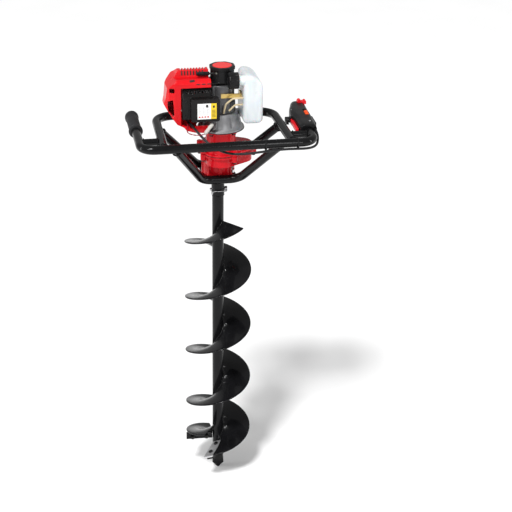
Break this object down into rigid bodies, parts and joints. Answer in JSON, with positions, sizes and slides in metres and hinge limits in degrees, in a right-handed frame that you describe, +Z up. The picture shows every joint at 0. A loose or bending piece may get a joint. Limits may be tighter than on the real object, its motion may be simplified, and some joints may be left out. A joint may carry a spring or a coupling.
{
  "type": "ice and earth auger",
  "caption": "One-person petrol auger with a tube handle frame, two-stroke power head, reduction gearbox, helical bit, bolted cutters and a recoil starter.",
  "frame": {"origin": "tip of the pilot point, on the bit's axis", "axes": "+Z up the bit's axis to the engine, +X to the throttle grip, +Y to the operator"},
  "size_m": [0.528, 0.3152, 1.3414],
  "materials": {
    "frame_black": "gloss black paint on steel tube",
    "bit_black": "gloss black paint on steel, scuffed",
    "housing_red": "gloss red enamel on cast alloy",
    "cover_red": "red moulded plastic",
    "control_red": "red moulded plastic",
    "badge_red": "red label disc",
    "switch_orange": "orange moulded plastic",
    "black_plastic": "black glass-filled nylon",
    "guard_black": "satin black heat-proof paint",
    "tank_plastic": "milky translucent polyethylene",
    "pulley_plastic": "natural nylon",
    "plug_boot": "black rubber boot",
    "grip_rubber": "soft black rubber",
    "seal_rubber": "gasket and seal",
    "cable_black": "black cable sheath",
    "hose_amber": "amber fuel hose",
    "lead_red": "dark red insulated wire",
    "rope_black": "braided cord",
    "filter_foam": "oiled foam",
    "clutch_lining": "sintered lining",
    "cast_alloy": "bead-blasted cast aluminium",
    "carburettor_alloy": "die-cast alloy",
    "zinc_yellow": "yellow passivated sheet steel",
    "bolt_steel": "zinc-plated",
    "bearing_steel": "ground steel",
    "gear_steel": "hardened steel",
    "blade_steel": "ground, bright",
    "black_oxide": "black oxide",
    "muffler_steel": "heat-stained sheet"
  },
  "bodies": {
    "frame": {"front_lower_tube": "frame_black", "rear_lower_tube": "frame_black", "handlebar_tube": "frame_black", "rear_loop_tube": "frame_black", "side_braces": "frame_black", "mounting_plate": "frame_black", "plate_bolts": "bolt_steel", "gearbox_lower_housing": "housing_red", "gearbox_upper_housing": "housing_red", "gearbox_seals": "seal_rubber", "gearbox_bolts": "black_oxide", "ball_bearings": "bearing_steel", "crankcase": "cast_alloy", "cylinder": "cast_alloy", "piston": "cast_alloy", "connecting_rod": "bearing_steel", "fan_housing": "cast_alloy", "spark_plug": "plug_boot", "engine_shroud": "cover_red", "muffler": "muffler_steel", "muffler_guard": "guard_black", "carburettor": "carburettor_alloy", "air_filter_cover": "black_plastic", "air_filter_foam": "filter_foam", "fuel_tank": "tank_plastic", "tank_bracket": "zinc_yellow", "fuel_hoses": "hose_amber", "starter_housing": "black_plastic", "starter_badge": "badge_red", "starter_rope": "rope_black", "left_grip": "grip_rubber", "throttle_grip": "black_plastic", "throttle_cable": "cable_black", "stop_leads": "lead_red"},
    "bit": {"output_shaft": "bearing_steel", "output_gear": "gear_steel", "auger_tube": "bit_black", "main_flight": "bit_black", "lower_flight": "bit_black", "blade_holders": "bit_black", "cutter_blades": "blade_steel", "blade_bolts": "black_oxide", "pilot_point": "bit_black", "coupling_pin": "bolt_steel"},
    "layshaft": {"layshaft": "gear_steel"},
    "input": {"input_pinion": "gear_steel", "clutch_drum": "gear_steel"},
    "crank": {"crankshaft": "bearing_steel", "clutch_shoes": "clutch_lining", "flywheel": "cast_alloy"},
    "starter_pulley": {"starter_pulley": "pulley_plastic"},
    "pull_handle": {"pull_handle": "black_plastic"},
    "fuel_cap": {"fuel_cap": "black_plastic"},
    "choke_lever": {"choke_lever": "black_plastic"},
    "throttle_arm": {"throttle_arm": "bolt_steel"},
    "throttle_trigger": {"throttle_trigger": "control_red"},
    "lockout_lever": {"lockout_lever": "black_plastic"},
    "lock_button": {"lock_button": "control_red"},
    "stop_switch": {"stop_switch": "switch_orange"},
    "pin_clip": {"pin_clip": "bolt_steel"}
  },
  "joints": [
    {"name": "bit_spin", "type": "hinge", "parent": "frame", "child": "bit", "pos_m": [0, 0, 1], "axis": [0, 0, 1], "continuous": true},
    {"name": "layshaft_spin", "type": "hinge", "parent": "frame", "child": "layshaft", "pos_m": [0.03454, -0.02115, 1.05], "axis": [0, 0, 1], "continuous": true},
    {"name": "input_spin", "type": "hinge", "parent": "frame", "child": "input", "pos_m": [0, -0.05, 1.08], "axis": [0, 0, 1], "continuous": true},
    {"name": "crank_spin", "type": "hinge", "parent": "frame", "child": "crank", "pos_m": [0, -0.05, 1.25], "axis": [0, 0, 1], "continuous": true},
    {"name": "handle_pull", "type": "slide", "parent": "frame", "child": "pull_handle", "axis": [-1, 0, 0], "range_m": [0, 0.45], "stiffness_N_per_m": 20, "springref_m": -0.05, "deforming": ["starter_rope"]},
    {"name": "pulley_spin", "type": "hinge", "parent": "frame", "child": "starter_pulley", "pos_m": [0, -0.05, 1.325], "axis": [0, 0, 1], "range_deg": [-1080, 5]},
    {"name": "cap_screw", "type": "hinge", "parent": "frame", "child": "fuel_cap", "pos_m": [0.03, -0.106, 1.311], "axis": [1, 0, 0], "continuous": true},
    {"name": "choke_turn", "type": "hinge", "parent": "frame", "child": "choke_lever", "pos_m": [-0.026, 0.058, 1.262], "axis": [1, 0, 0], "range_deg": [-70, 0]},
    {"name": "trigger_squeeze", "type": "hinge", "parent": "frame", "child": "throttle_trigger", "pos_m": [0.211, -0.03197, 1.15872], "axis": [0, -0.0224, 0.9997], "range_deg": [0, 8], "stiffness_Nm_per_rad": 0.6, "springref_deg": -11.46},
    {"name": "throttle_turn", "type": "hinge", "parent": "frame", "child": "throttle_arm", "pos_m": [-0.065, 0.029, 1.27], "axis": [0, 0, 1], "range_deg": [0, 50]},
    {"name": "lockout_press", "type": "hinge", "parent": "frame", "child": "lockout_lever", "pos_m": [0.262, -0.02811, 1.16481], "axis": [0, 0.0224, -0.9997], "range_deg": [0, 5], "stiffness_Nm_per_rad": 0.4, "springref_deg": -11.46},
    {"name": "button_press", "type": "slide", "parent": "frame", "child": "lock_button", "axis": [0, 0.0224, -0.9997], "range_m": [0, 0.003], "stiffness_N_per_m": 400, "springref_m": -0.001},
    {"name": "switch_slide", "type": "slide", "parent": "frame", "child": "stop_switch", "axis": [0, 0.9997, 0.0224], "range_m": [0, 0.014]},
    {"name": "clip_swing", "type": "hinge", "parent": "bit", "child": "pin_clip", "pos_m": [0.023, 0, 0.952], "axis": [0, -1, 0], "range_deg": [0, 150]}
  ],
  "couplings": [
    {"joint": "layshaft_spin", "follows": "bit_spin", "ratio": -5},
    {"joint": "input_spin", "follows": "bit_spin", "ratio": 31},
    {"joint": "pulley_spin", "follows": "handle_pull", "rad_per_m": -41.667},
    {"joint": "throttle_turn", "follows": "trigger_squeeze", "ratio": 6}
  ]
}
